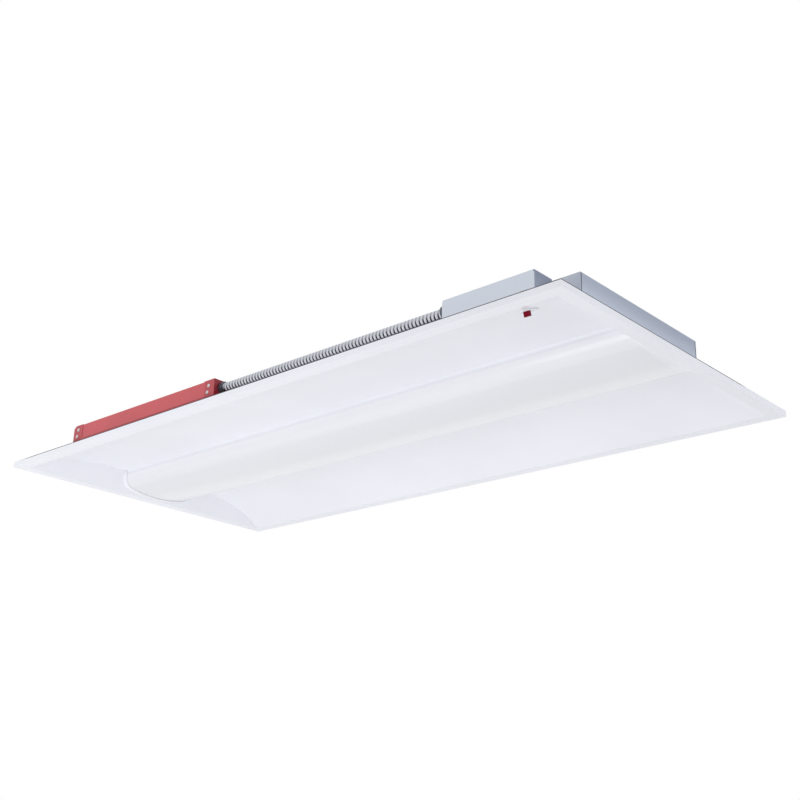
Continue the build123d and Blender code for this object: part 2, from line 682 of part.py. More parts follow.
def locknut(x_face, outward):
    """Hexagonal locknut inside the sheet, round the connector's throat."""
    start = (x_face - outward * SHEET, CONDUIT_Y, CONDUIT_Z)
    ring = RegularPolygon(10.9, 6) - Circle(THROAT_RADIUS + FIT)
    return Plane(origin=start, z_dir=(-outward, 0, 0)) * extrude(ring, amount=NUT)


pack_face = PACK_X[1] + SHEET
save("flexible_conduit", flexible_conduit())
save("conduit_connector_pack", connector(pack_face, 1, CONNECTOR))
save("conduit_connector_box", connector(BOX_X[0], -1, BOX_CONNECTOR))
save("conduit_locknuts", group([locknut(pack_face, 1), locknut(BOX_X[0], -1)]))


# ---- test switch on the near wing ---------------------------------------------------------
BEZEL_RADIUS = 13.5
BEZEL_RISE = 1.3
NUT_RADIUS = 13.0
SOCKET_GAP = 0.2  # between the key and its socket, per side
BARREL_DEPTH = 15.0
BUTTON_TRAVEL = 2.5
SWITCH_DEPTH = 23.0
LAMP_RADIUS = 1.5


def slab(size, shift, low, high):
    """A rectangular prism along the switch's axis; high points out of the wing's underside."""
    return switch_frame * Pos(0, shift, low) * extrude(Rectangle(*size), amount=high - low)


def disc(radius, shift, low, high):
    return switch_frame * Pos(0, shift, low) * extrude(Circle(radius), amount=high - low)


def switch_bezel():
    """Round flange under the wing over a barrel, with the key's socket and a lamp hole."""
    rise, edge = BEZEL_RISE, BEZEL_RADIUS
    rim = [(0, 0.35), (edge, 0.35), (edge, 0.7), (edge - 1, rise), (0, rise)]
    bezel = switch_frame * spun(rim) + disc(BARREL_RADIUS, 0, -BARREL_DEPTH, 1.0)
    socket = [side + 2 * SOCKET_GAP for side in BUTTON]
    bezel -= slab(socket, BUTTON_SHIFT, -BARREL_DEPTH - 1, rise + 1)
    return bezel - disc(LAMP_RADIUS + 0.1, -BUTTON_SHIFT, -BARREL_DEPTH - 1, rise + 1)


def switch_nut():
    ring = RegularPolygon(NUT_RADIUS, 6) - Circle(BARREL_RADIUS + FIT)
    return switch_frame * Pos(0, 0, -SHEET - 4.0) * extrude(ring, amount=3.4)


def switch_body():
    """Sealed micro-switch behind the barrel, with its pins and its indicator lamp."""
    body = slab((15.0, 15.0), 0, -SWITCH_DEPTH, -BARREL_DEPTH)
    for shift in (-4, 0, 4):
        pin = extrude(Rectangle(0.8, 2.8), amount=4)
        body += switch_frame * Pos(shift, 0, -SWITCH_DEPTH - 4) * pin
    return body + disc(LAMP_RADIUS, -BUTTON_SHIFT, -BARREL_DEPTH, BEZEL_RISE)


def test_button():
    """Red key of the push-button: it stands out of the bezel and slides in its socket."""
    top = BEZEL_RISE + BUTTON_STAND
    button = slab(BUTTON, BUTTON_SHIFT, -BARREL_DEPTH + BUTTON_TRAVEL + 0.5, top)
    face = button.faces().sort_by_distance(switch_frame.from_local_coords((0, 0, top + 5)))[0]
    return fillet(face.edges(), 0.6)


save("test_switch_bezel", switch_bezel())
save("test_switch_nut", switch_nut())
save("test_switch_body", switch_body())
save("test_button", test_button())


# ---- ceiling-grid clips -------------------------------------------------------------------
RIVET_RADIUS = 2.0
CLIP_GAP = 0.1
CLIP_SHEET = 1.0


def clip_post():
    """Folded post on the wing's back at (+X, far side): foot, upright and top leaf."""
    foot_s, wall_s, leaf_s = 252.0, 240.0, 222.0
    arc = cove_arc(foot_s, wall_s, SHEET)
    wall_z = cove_z(wall_s, SHEET)
    low_top = POST_TOP - SHEET
    path = arc + Polyline((wall_s, wall_z), (wall_s, low_top), (leaf_s, low_top))
    post = along_x(folded(path), CLIP_X - 9, CLIP_X + 9)
    return post - Pos(CLIP_X, CLIP_S, POST_TOP) * Cylinder(RIVET_RADIUS, 8)


def grid_clip():
    """Swing-out clip at (+X, far side), folded away along the wing, with a hooked tip."""
    low = POST_TOP + CLIP_GAP
    reach = CLIP_X - CLIP_LENGTH
    shape = Pos(CLIP_X, CLIP_S) * Circle(CLIP_WIDTH / 2)
    shape += Pos((CLIP_X + reach) / 2, CLIP_S) * Rectangle(CLIP_LENGTH, CLIP_WIDTH)
    clip = Pos(0, 0, low) * extrude(shape, amount=CLIP_SHEET)
    half = CLIP_WIDTH / 2
    clip += block((reach, reach + CLIP_SHEET), (CLIP_S - half, CLIP_S + half), (low - 6, low + CLIP_SHEET))
    return clip - Pos(CLIP_X, CLIP_S, low) * Cylinder(RIVET_RADIUS + FIT, 8)


def clip_rivet():
    """Shank through the post's top leaf and the clip, headed above the clip."""
    low = POST_TOP - SHEET
    head = POST_TOP + CLIP_SHEET + 2 * CLIP_GAP
    points = [(0, low), (RIVET_RADIUS, low), (RIVET_RADIUS, head), (3.6, head), (3.6, head + 1.2)]
    return turned(points + [(0, head + 1.2)], (CLIP_X, CLIP_S, 0), (0, 0, 1))


def four_corners(shape):
    """The shape at (+X, far) with its mirror images, by corner name."""
    left = flip_x(shape)
    return {"far_right": shape, "far_left": left, "near_right": flip_y(shape), "near_left": flip_y(left)}


for corner, clip in four_corners(grid_clip()).items():
    save(f"grid_clip_{corner}", clip)
save("grid_clip_posts", group(four_corners(clip_post()).values()))
save("grid_clip_rivets", group(four_corners(clip_rivet()).values()))

print(len(volumes), "nodes,", round(sum(volumes.values()) / 1000), "cm3")
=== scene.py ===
# %% [markdown]
# # A recessed troffer light
# The real object is a lay-in ceiling light: a white sheet-metal reflector with an opal lens in
# its middle, a galvanised housing on its back, a red emergency battery pack, and a flexible
# metal conduit from the pack to a wiring box. The solids come from the CAD model with their
# real places and sizes, so this lesson only dresses them: finishes, small details and light.

# %% Load the fixed frame
import json
import math

import bmesh
import bpy
from mathutils import Matrix, Vector


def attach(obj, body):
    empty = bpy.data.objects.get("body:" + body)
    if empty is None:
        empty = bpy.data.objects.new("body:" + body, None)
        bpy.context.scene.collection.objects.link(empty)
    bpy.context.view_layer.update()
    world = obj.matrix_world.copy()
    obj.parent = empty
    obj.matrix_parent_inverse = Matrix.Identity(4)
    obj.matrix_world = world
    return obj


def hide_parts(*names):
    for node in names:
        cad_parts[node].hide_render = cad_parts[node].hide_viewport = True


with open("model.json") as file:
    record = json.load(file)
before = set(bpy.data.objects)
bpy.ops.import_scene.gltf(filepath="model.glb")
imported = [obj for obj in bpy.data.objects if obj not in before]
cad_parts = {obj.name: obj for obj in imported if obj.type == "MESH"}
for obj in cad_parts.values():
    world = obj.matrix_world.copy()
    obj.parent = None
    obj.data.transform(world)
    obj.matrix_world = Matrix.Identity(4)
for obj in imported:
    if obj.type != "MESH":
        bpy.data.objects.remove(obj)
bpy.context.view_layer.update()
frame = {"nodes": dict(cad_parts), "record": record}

NODES = frame["nodes"]
MM = 0.001

# %% [markdown]
# ## Shader maths as Python
# A finish is a small program. `Signal` stands for one output socket, and arithmetic on it adds
# Math nodes, so `1 - mask` reads as it would on paper. The nodes could be wired one by one, but
# an expression shows at a glance what a mask does.


# %% Signals
class Signal:
    """One output of a shader node. Arithmetic on it adds Math nodes."""

    def __init__(self, finish, socket):
        self.finish = finish
        self.socket = socket

    def math(self, operation, *values):
        sockets = dict(enumerate(values))
        return self.finish.node("ShaderNodeMath", {"operation": operation}, sockets)

    def __add__(self, other):
        return self.math("ADD", self, other)

    def __sub__(self, other):
        return self.math("SUBTRACT", self, other)

    def __rsub__(self, other):
        return self.math("SUBTRACT", other, self)

    def __mul__(self, other):
        return self.math("MULTIPLY", self, other)

    __radd__ = __add__
    __rmul__ = __mul__

    def root(self):
        return self.math("SQRT", self)

    def size(self):
        return self.math("ABSOLUTE", self)

    def at_most(self, limit):
        return self.math("MINIMUM", self, limit)

    def above(self, limit):
        return self.math("GREATER_THAN", self, limit)

    def inside(self, low, high):
        """A smooth step from 0 at low to 1 at high."""
        settings = {"interpolation_type": "SMOOTHSTEP"}
        sockets = {"Value": self, "From Min": low, "From Max": high}
        return self.finish.node("ShaderNodeMapRange", settings, sockets)


print("one class for sockets:", Signal.__name__)

# %% [markdown]
# ## A finish, one node at a time
# Real paint and sheet metal are never even, so every finish below mixes a few patterns of
# different sizes. All of them are worked out from the point on the piece, in metres. They need
# no pictures and no unwrapping, they stay put when the piece moves, and a mask can follow a real
# height or edge of the light. `Finish.node` adds every node that isn't plain arithmetic.


# %% Finishes
NOISE_RANGE = (0.35, 0.65)  # nearly all of a noise lies in here
SQUARE_ON = (0.6, 0.9)  # how squarely a face has to look along an axis to be counted


def shade(red, green, blue, by=1.0):
    """A colour for a socket, made lighter or darker by a factor."""
    return (red * by, green * by, blue * by, 1.0)


class Finish:
    """A material that is being put together, one node at a time."""

    def __init__(self, name, owner=None):
        owner = owner or bpy.data.materials.new(name)
        owner.use_nodes = True
        self.owner = owner
        self.tree = owner.node_tree
        self.tree.nodes.clear()

    def node(self, kind, settings=None, sockets=None, output=0):
        """Adds a node: its settings come first, then the values or links of its sockets."""
        node = self.tree.nodes.new(kind)
        for key, value in (settings or {}).items():
            setattr(node, key, value)
        for key, value in (sockets or {}).items():
            if isinstance(value, Signal):
                self.tree.links.new(value.socket, node.inputs[key])
            else:
                node.inputs[key].default_value = value
        return Signal(self, node.outputs[output]) if node.outputs else None

    def place(self):
        """The point on the surface, in metres in the object's own frame."""
        return self.node("ShaderNodeTexCoord", output=3)

    def axis(self, index):
        return self.node("ShaderNodeSeparateXYZ", sockets={0: self.place()}, output=index)

    def facing(self, index):
        """How much the surface faces along one axis, 0 to 1, either way."""
        normal = self.node("ShaderNodeTexCoord", output=1)
        return self.node("ShaderNodeSeparateXYZ", sockets={0: normal}, output=index).size()

    def stretched(self, scale):
        """The place, stretched by one factor along each axis."""
        settings = {"operation": "MULTIPLY"}
        return self.node("ShaderNodeVectorMath", settings, {0: self.place(), 1: scale})

    def noise(self, size, detail=2.0, vector=None):
        """Noise whose features are about size metres across."""
        sockets = {"Vector": vector or self.place(), "Scale": 1 / size, "Detail": detail}
        return self.node("ShaderNodeTexNoise", sockets=sockets)

    def cells(self, size):
        """A random colour for each cell, about size metres across."""
        sockets = {"Vector": self.place(), "Scale": 1 / size}
        return self.node("ShaderNodeTexVoronoi", sockets=sockets, output=1)

    def blend(self, factor, first, second):
        """Mixes two colours."""
        sockets = {0: factor, 6: first, 7: second}
        return self.node("ShaderNodeMix", {"data_type": "RGBA"}, sockets, 2)

    def bump(self, height, distance):
        return self.node("ShaderNodeBump", sockets={"Height": height, "Distance": distance})

    def done(self, **sockets):
        """Closes the finish with a Principled shader and returns the material."""
        named = {key.replace("_", " "): value for key, value in sockets.items()}
        shader = self.node("ShaderNodeBsdfPrincipled", sockets=named)
        self.node("ShaderNodeOutputMaterial", sockets={"Surface": shader})
        print("finish", self.owner.name, "of", len(self.tree.nodes), "nodes")
        return self.owner


FINISHES = {}
print("finishes so far:", len(FINISHES))

# %% [markdown]
# ## White enamel
# The reflector is powder-coated steel. Powder coat is almost white, a little cold, and it has a
# faint orange-peel skin that softens every reflection. One flat white would look like paper, so a
# fine noise drives the bump, and a much larger one moves the colour and the gloss by a percent or
# two, as uneven film thickness does. A thin dark line is drawn along the top edge of the flange's
# lip, except at the left end and along the far side, where the photograph has no such line. The
# switch's white plastic has the same recipe, glossier and with no such line.

# %% White enamel
LIP_X, LIP_Y, LIP_TOP = 0.60, 0.30, 0.0100
LIP_LINE_BAND = (LIP_TOP - 0.0013, LIP_TOP - 0.0010)
LIP_SLACK = 0.0001
LINE_FROM_LEFT, LINE_TO_FAR = (-0.60, -0.54), (0.15, 0.18)
# the colour of the thin dark line along the lip's top edge
DARK_LIP_LINE = shade(0.05, 0.05, 0.06)


def dark_lip_mask(finish):
    """A mask of a thin dark line along the lip's top edge, on the outer faces of the four
    flanges.
    """
    lip = finish.axis(1).size().above(LIP_Y) + finish.axis(0).size().above(LIP_X)
    height = finish.axis(2)
    band = height.inside(*LIP_LINE_BAND) * (1 - height.above(LIP_TOP + LIP_SLACK))
    patchy = finish.axis(0).inside(*LINE_FROM_LEFT) * (1 - finish.axis(1).inside(*LINE_TO_FAR))
    return lip.at_most(1.0) * band * patchy


def white_coat(name, tint, rough, edge=False):
    finish = Finish(name)
    cloud = finish.noise(0.18, 3.0)
    peel = finish.noise(0.0016)
    coat = finish.blend(cloud.inside(*NOISE_RANGE), shade(*tint), shade(*tint, by=0.975))
    # a thin dark line along the lip's top edge, where the mask puts it
    if edge:
        coat = finish.blend(dark_lip_mask(finish), coat, DARK_LIP_LINE)
    return finish.done(
        Base_Color=coat,
        Roughness=cloud * 0.06 + rough,
        Normal=finish.bump(peel, 0.00004),
        Coat_Weight=cloud * 0.1 + 0.15,
        Coat_Roughness=0.22,
        Specular_IOR_Level=0.5,
    )


FINISHES["white_enamel"] = white_coat("white_enamel", (0.858, 0.865, 0.912), 0.36, True)
FINISHES["white_plastic"] = white_coat("white_plastic", (0.85, 0.86, 0.90), 0.24)

# %% [markdown]
# ## Opal lens
# The lens is an extruded acrylic diffuser. Light scatters inside it, so it looks milky and even,
# with a soft sheen on its round edges. Scattering under the skin could be simulated, but a pale
# colour under a clear coat gives the same look at once. A low bump along X stands for the
# extrusion's draw lines. The upper part of the sides, towards the wings, has painted light: a
# paler colour.

# %% Opal lens
LENS_PAINTED_LIGHT = (0.020, 0.034)


def opal_lens():
    finish = Finish("opal_lens")
    draw = finish.noise(0.0022, vector=finish.stretched((0.02, 1.0, 1.0)))
    cloud = finish.noise(0.25)
    milky = finish.blend(cloud, shade(0.80, 0.805, 0.838), shade(0.785, 0.79, 0.823))
    # painted light: a paler colour on the upper part of the sides
    edge = finish.axis(2).inside(*LENS_PAINTED_LIGHT)
    return finish.done(
        Base_Color=finish.blend(edge, milky, shade(0.835, 0.84, 0.872)),
        Roughness=draw * 0.06 + 0.28,
        Normal=finish.bump(draw, 0.00002),
        Coat_Weight=cloud * 0.1 + 0.5,
        Coat_Roughness=0.14,
        Specular_IOR_Level=0.5,
    )


FINISHES["opal_lens"] = opal_lens()

# %% [markdown]
# ## Galvanised steel
# Thin sheet for housings is galvanised with a minimised spangle: a grey, slightly blue zinc skin
# with fine crystals that show only in glancing light, over the rolling direction of the sheet.
# In the photograph its end faces are darker, more so towards the top, towards the far side and on
# the wiring box, and so are the long walls near their right end. A mask of places mixes painted
# shade into the zinc there. Lamps could do it too, but they would change the white reflector as
# well.

# %% Galvanised steel
END_TOP, END_FAR = (0.060, 0.096), (-0.16, 0.16)
BOX_END = (-0.162, -0.154)  # the wiring box stands in front of this
WALL_RIGHT, WALL_BEHIND = (0.45, 0.56), (-0.19, -0.18)  # behind the box's front
# the colour of the painted shade on the housing and the wiring box
PAINTED_SHADE_GREY = shade(0.24, 0.27, 0.35)


def zinc_shade_mask(finish):
    """A mask of painted shade on the faces of the housing and the wiring box."""
    across = finish.facing(0).inside(*SQUARE_ON)
    top = finish.axis(2).inside(*END_TOP)
    box = 1 - finish.axis(1).inside(*BOX_END)
    far = finish.axis(1).inside(*END_FAR)
    wall = finish.facing(1).inside(*SQUARE_ON) * finish.axis(0).inside(*WALL_RIGHT)
    behind = wall * finish.axis(1).inside(*WALL_BEHIND)
    return across * (top * 0.42 + box * 0.45 + far * 0.12) + behind * 0.6


def galvanised_steel(tint, spangle):
    finish = Finish("galvanised_steel")
    crystal = finish.node("ShaderNodeSeparateColor", sockets={0: finish.cells(spangle)})
    rolling = finish.noise(0.0012, 3.0, finish.stretched((0.03, 0.03, 1.0)))
    cloud = finish.noise(0.09, 3.0)
    grain = crystal * 0.2 + rolling * 0.3 + cloud * 0.5
    skin = finish.blend(grain, shade(*tint, by=0.93), shade(*tint, by=1.05))
    # the base colour mixes in painted shade where the mask is
    return finish.done(
        Base_Color=finish.blend(zinc_shade_mask(finish), skin, PAINTED_SHADE_GREY),
        Metallic=0.9,
        Roughness=crystal * 0.05 + rolling * 0.06 + 0.36,
        Normal=finish.bump(crystal * 0.5 + rolling * 0.4, 0.00002),
    )


FINISHES["galvanised_steel"] = galvanised_steel((0.62, 0.66, 0.735), 0.004)

# %% [markdown]
# ## Plain metals
# Screws and rivets are bright steel, and the conduit's connectors are dull cast zinc. They share
# one recipe with different tints and grain: a fine noise for the skin, and a coarser one for the
# wear that tarnishes part of it.

# %% Plain metals
WEAR_RANGE = (0.35, 0.60)
WEAR_TO_GRAIN = 9


def plain_metal(name, tint, rough, grain_size):
    finish = Finish(name)
    grain = finish.noise(grain_size, 3.0)
    wear = finish.noise(grain_size * WEAR_TO_GRAIN).inside(*WEAR_RANGE)
    return finish.done(
        Base_Color=finish.blend(wear, shade(*tint, by=0.8), shade(*tint)),
        Metallic=0.95,
        Roughness=grain * 0.14 + rough,
        Normal=finish.bump(grain, 0.00003),
    )


FINISHES["bright_steel"] = plain_metal("bright_steel", (0.74, 0.74, 0.75), 0.26, 0.0009)
FINISHES["zinc_casting"] = plain_metal("zinc_casting", (0.15, 0.165, 0.19), 0.34, 0.0006)

# %% [markdown]
# ## Hose strip
# The conduit's steel strip is polished on the crowns of its turns. The grooves are dark, and
# darker still towards the underside as painted shade. On its underside the crowns carry a row of
# bright scallops, a painted highlight, and the lowest line of the hose is painted dark as shade.
# The distance from the hose's own axis and the height beside it say which is which, so the finish
# needs no image.

# %% Hose strip
HOSE_Y, HOSE_Z = -0.189, 0.0822
HOSE_ROOT, HOSE_CROWN = 0.0066, 0.00775
CROWN_EDGE = (HOSE_ROOT + 0.0001, HOSE_CROWN - 0.0002)
# heights beside the axis: painted shade on the lowest line, a painted highlight on the underside,
# painted shade in the grooves
LOWEST_SHADE, HIGHLIGHT_BAND, GROOVE_SHADE = (-0.0078, -0.0066), (-0.0045, -0.002), (-0.004, 0.001)


def hose_strip():
    finish = Finish("hose_steel")
    across, up = finish.axis(1) - HOSE_Y, finish.axis(2) - HOSE_Z
    crown = (across * across + up * up).root().inside(*CROWN_EDGE)
    grain = finish.noise(0.0009, 3.0)
    # painted shade in the grooves and on the lowest line, a painted highlight under the crowns
    shaded = up.inside(*GROOVE_SHADE)
    groove = finish.blend(shaded, shade(0.05, 0.05, 0.06), shade(0.33, 0.345, 0.38))
    patchy = finish.blend(grain, shade(0.50, 0.52, 0.565), shade(0.66, 0.685, 0.73))
    bright = finish.blend(up.inside(*HIGHLIGHT_BAND), shade(0.93, 0.94, 0.96), patchy)
    strip = finish.blend(up.inside(*LOWEST_SHADE), shade(0.10, 0.10, 0.11), bright)
    return finish.done(
        Base_Color=finish.blend(crown, groove, strip),
        Metallic=0.95,
        Roughness=grain * 0.12 + 0.24,
        Normal=finish.bump(grain, 0.00003),
    )


FINISHES["hose_steel"] = hose_strip()

# %% [markdown]
# ## Paints and plastics
# Emergency equipment is painted red. In the photograph the flat faces are a dusty pink, because
# the satin paint mirrors the white room, so the roughness matters as much as the colour. A mask
# of places mixes a deeper red into the pack's foot and its end faces, as painted shade, and into
# its two caps, which are a deeper red. The small pieces inside share the recipe: a tint that
# varies a little over a grained skin.

# %% Paints and plastics
PACK_FOOT = (0.0668, 0.0693)
LEFT_CAP, RIGHT_CAP = (-0.5475, -0.5435), (-0.186, -0.182)
# the deeper red: painted shade on the foot and end faces, and the caps' colour
DEEP_RED = shade(0.3015, 0.0114, 0.0218)


def deep_red(finish):
    """A mask of painted shade on the pack's foot and end faces, and of the caps' deeper red."""
    foot = 1 - finish.axis(2).inside(*PACK_FOOT)
    ends = finish.facing(0).inside(*SQUARE_ON)
    caps = 1 - finish.axis(0).inside(*LEFT_CAP) + finish.axis(0).inside(*RIGHT_CAP)
    return foot * 0.85 + ends * 0.75 + caps * 0.38


def coloured(name, tint, rough, speck, coat, spread, shine):
    finish = Finish(name)
    skin = finish.noise(speck)
    cloud = finish.noise(0.06, 3.0)
    colour = finish.blend(cloud.inside(*NOISE_RANGE), shade(*tint), shade(*tint, by=spread))
    # painted shade on the pack's foot and end faces, and the caps' deeper red
    if name == "red_enamel":
        colour = finish.blend(deep_red(finish), colour, DEEP_RED)
    return finish.done(
        Base_Color=colour,
        Roughness=skin * 0.08 + rough,
        Normal=finish.bump(skin, 0.00003),
        Coat_Weight=cloud * 0.1 + coat,
        Coat_Roughness=0.25,
        Specular_IOR_Level=shine,
    )


# A row: the slot, its tint, roughness, grain in metres, coat, darkest share, specular level.
PAINTS = [
    ("red_enamel", (0.67, 0.095, 0.109), 0.40, 0.0014, 0.1, 0.94, 0.45),
    ("board_white", (0.86, 0.86, 0.84), 0.30, 0.0008, 0.3, 0.97, 0.5),
    ("driver_enamel", (0.84, 0.84, 0.83), 0.40, 0.0012, 0.2, 0.97, 0.5),
    ("cell_wrap", (0.07, 0.16, 0.42), 0.25, 0.0007, 0.5, 0.9, 0.5),
    ("circuit_green", (0.03, 0.24, 0.09), 0.32, 0.0009, 0.4, 0.7, 0.5),
    ("terminal_grey", (0.66, 0.66, 0.64), 0.45, 0.0008, 0.05, 0.9, 0.5),
    ("black_plastic", (0.03, 0.03, 0.032), 0.45, 0.0008, 0.05, 0.8, 0.5),
    ("ground_green", (0.05, 0.34, 0.12), 0.30, 0.0009, 0.2, 0.9, 0.5),
    ("button_red", (0.27, 0.001, 0.02), 0.35, 0.0008, 0.0, 0.7, 0.08),
]
for row in PAINTS:
    FINISHES[row[0]] = coloured(*row)

# %% [markdown]
# ## One finish for each slot
# The record names a material slot for every node, and the loop hands each node its finish. It
# could be done node by node, but this way two pieces of one material can't drift apart.

# %% Finishes on the nodes
for part in frame["record"]["subparts"]:
    mesh = NODES[part["node"]].data
    mesh.materials.clear()
    mesh.materials.append(FINISHES[part["material_slot"]])
print(len(FINISHES), "finishes on", len(NODES), "nodes")

# %% [markdown]
# ## Pieces that the solids leave plain
# A piece rides on a CAD body, so it moves as that body does. Where it stands for a node it has
# the node's place and size, and the node itself is hidden. Some of the pieces are rings of
# corners, so one helper joins such rings, and another hands a shape over as a mesh. Modifiers
# could do parts of this, but code keeps every corner where the numbers put it.


# %% Making and placing a piece
def join_rings(shape, rings):
    """Joins rings of corners by bands of faces, and closes the first and the last one."""
    for before, after in zip(rings, rings[1:]):
        for index in range(len(before)):
            beyond = (index + 1) % len(before)
            shape.faces.new((before[index], before[beyond], after[beyond], after[index]))
    shape.faces.new(rings[0])
    shape.faces.new(rings[-1])


def mesh_of(shape, name):
    """Turns all faces outward and hands the shape over as a mesh."""
    bmesh.ops.recalc_face_normals(shape, faces=shape.faces)
    mesh = bpy.data.meshes.new(name)
    shape.to_mesh(mesh)
    shape.free()
    return mesh


def piece(name, mesh, body, slot, *nodes, smooth=30):
    """Makes an object of the mesh that rides on a body and stands for the nodes, if any."""
    mesh.shade_smooth()
    thing = bpy.data.objects.new(name, mesh)
    bpy.context.scene.collection.objects.link(thing)
    mesh.materials.clear()
    mesh.materials.append(FINISHES[slot])
    mesh.set_sharp_from_angle(angle=math.radians(smooth))
    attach(thing, body)
    if nodes:
        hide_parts(*nodes)
    print(name, len(mesh.vertices), "vertices, smooth up to", smooth, "degrees")


# %% [markdown]
# ## The conduit
# Flexible conduit is one steel strip wound in a helix, each turn hooked into the one before. A
# screw modifier could sweep the section, but it wouldn't join a turn to the next. The grid below
# follows the strip instead: a row is one point of its section, and a row's end meets the start of
# the same row one turn on. The strip ends inside the two connectors, with a rim and a bore.

# %% Conduit as a wound strip
HOSE_X = (-0.1560, 0.3318)  # both ends lie inside a connector
HOSE_RIBS = (-0.1492, 0.3280)
HOSE_TURNS, HOSE_SEGMENTS, HOSE_BORE = 67, 44, 0.0058
WELD = 0.00001
# The strip's section: the share of a turn, and the height between root and crown.
STRIP = [(0.00, 0.10), (0.05, 0.45), (0.11, 0.86), (0.20, 0.98), (0.34, 1.00)]
STRIP += [(0.50, 0.97), (0.60, 0.84), (0.67, 0.50), (0.72, 0.10), (0.86, 0.00)]


def strip_row(shape, start, rise):
    """One point of the section, taken once round the hose from start, which is in turns."""
    row = []
    pitch = (HOSE_RIBS[1] - HOSE_RIBS[0]) / HOSE_TURNS
    for step in range(HOSE_SEGMENTS):
        along = start + step / HOSE_SEGMENTS
        x = HOSE_RIBS[0] + along * pitch
        ribbed = 0 <= along <= HOSE_TURNS
        radius = HOSE_ROOT + (HOSE_CROWN - HOSE_ROOT) * rise * ribbed
        angle = -2 * math.pi * step / HOSE_SEGMENTS
        y, z = HOSE_Y + radius * math.cos(angle), HOSE_Z + radius * math.sin(angle)
        row.append(shape.verts.new((min(max(x, HOSE_X[0]), HOSE_X[1]), y, z)))
    return row


def open_edges(shape):
    return [edge for edge in shape.edges if edge.is_boundary]


def close_ends(shape):
    """Gives each open end a rim, and joins the two rims by the wall of the bore."""
    rims = bmesh.ops.extrude_edge_only(shape, edges=open_edges(shape))
    for corner in rims["geom"]:
        if isinstance(corner, bmesh.types.BMVert):
            spoke = Vector((0, corner.co.y - HOSE_Y, corner.co.z - HOSE_Z)).normalized()
            y, z = HOSE_Y + spoke.y * HOSE_BORE, HOSE_Z + spoke.z * HOSE_BORE
            corner.co = (corner.co.x, y, z)
    bmesh.ops.bridge_loops(shape, edges=open_edges(shape))


def hose_mesh():
    shape = bmesh.new()
    rows = []
    for turn in range(-2, HOSE_TURNS + 2):
        rows += [strip_row(shape, turn + part, rise) for part, rise in STRIP]
    for index in range(len(rows) - len(STRIP) - 1):
        here, above = rows[index], rows[index + 1]
        here_on, above_on = rows[index + len(STRIP)], rows[index + len(STRIP) + 1]
        lower, upper = here + here_on[:1], above + above_on[:1]
        for step in range(HOSE_SEGMENTS):
            shape.faces.new((lower[step], lower[step + 1], upper[step + 1], upper[step]))
    bmesh.ops.remove_doubles(shape, verts=shape.verts, dist=2 * WELD)
    close_ends(shape)
    print("open edges in the conduit:", len(open_edges(shape)))
    return mesh_of(shape, "hose_strip")


piece("conduit_strip", hose_mesh(), "fixture", "hose_steel", "flexible_conduit", smooth=60)

# %% [markdown]
# ## Wiring-box cover
# In the photograph the cover's front edge is straight, while the solid has a finger tab there.
# The cover's copy presses the tab flat into its front face. The face is then one plane of many
# triangles, so only nearly flat angles are smoothed, or the light would show their edges.

# %% Wiring-box cover
BOX_FRONT = -0.2007
COVER = "wiring_box_cover"


def plain_cover():
    mesh = NODES[COVER].data.copy()
    shape = bmesh.new()
    shape.from_mesh(mesh)
    for corner in shape.verts:
        corner.co.y = max(corner.co.y, BOX_FRONT)
    bmesh.ops.remove_doubles(shape, verts=shape.verts, dist=WELD)
    bmesh.ops.dissolve_degenerate(shape, edges=shape.edges, dist=WELD)
    shape.to_mesh(mesh)
    shape.free()
    return mesh


piece("plain_box_cover", plain_cover(), COVER, "galvanised_steel", COVER, smooth=1)

# %% [markdown]
# ## Screws of the pack
# The pack's caps are held by pan-head screws with a cross recess, which only show close up. Their
# heads are turned rings, and corners within the cross are sunk. A boolean cut would give sharper
# walls for many more faces. Each head stops at its own angle, as driven screws do.

# %% Screws of the pack
SCREWS = [(-0.5550, 0.0868), (-0.5575, 0.0744), (-0.1734, 0.0856), (-0.1762, 0.0742)]  # x and z
SCREW_SEAT, SCREW_TURN = -0.2068, 24
FIRST_SPIN, NEXT_SPIN = 20, 35
# The head's outline in millimetres: radius, and height over the seat.
SCREW_PROFILE = [(3.2, 0.0), (3.2, 0.35), (3.05, 0.75), (2.7, 1.05), (2.3, 1.2), (1.9, 1.3)]
SCREW_PROFILE += [(1.5, 1.36), (1.1, 1.39), (0.75, 1.4), (0.4, 1.4), (0.2, 1.4)]
CROSS_ARM, CROSS_HALF, CROSS_DEPTH = 1.75, 0.42, 0.7


def head_point(x, z, spin, radius, rise, angle):
    """A corner of the head that sits at x and z and is turned by spin."""
    across, up = radius * math.cos(angle), radius * math.sin(angle)
    short, long = sorted((abs(across), abs(up)))
    sunk = CROSS_DEPTH if short < CROSS_HALF and long < CROSS_ARM else 0
    turned_x = across * math.cos(spin) - up * math.sin(spin)
    turned_z = across * math.sin(spin) + up * math.cos(spin)
    return (x + turned_x * MM, SCREW_SEAT - (rise - sunk) * MM, z + turned_z * MM)


def screws_mesh():
    shape = bmesh.new()
    angles = [2 * math.pi * step / SCREW_TURN for step in range(SCREW_TURN)]
    for index, (x, z) in enumerate(SCREWS):
        spin = math.radians(FIRST_SPIN + NEXT_SPIN * index)
        rings = []
        for radius, rise in SCREW_PROFILE:
            ring = [head_point(x, z, spin, radius, rise, angle) for angle in angles]
            rings.append([shape.verts.new(point) for point in ring])
        join_rings(shape, rings)
    return mesh_of(shape, "pack_screw_heads")


piece("pack_screw_heads", screws_mesh(), "fixture", "bright_steel", "pack_screws")

# %% [markdown]
# ## Light seals beside the lens
# The lens drops through a slot between the wings. In the photograph the wing runs into the lens
# with no dark gap, so a thin seal with a hollow face closes the slot on each side. It is a
# section drawn along X, with steps so that its long faces don't become slivers.

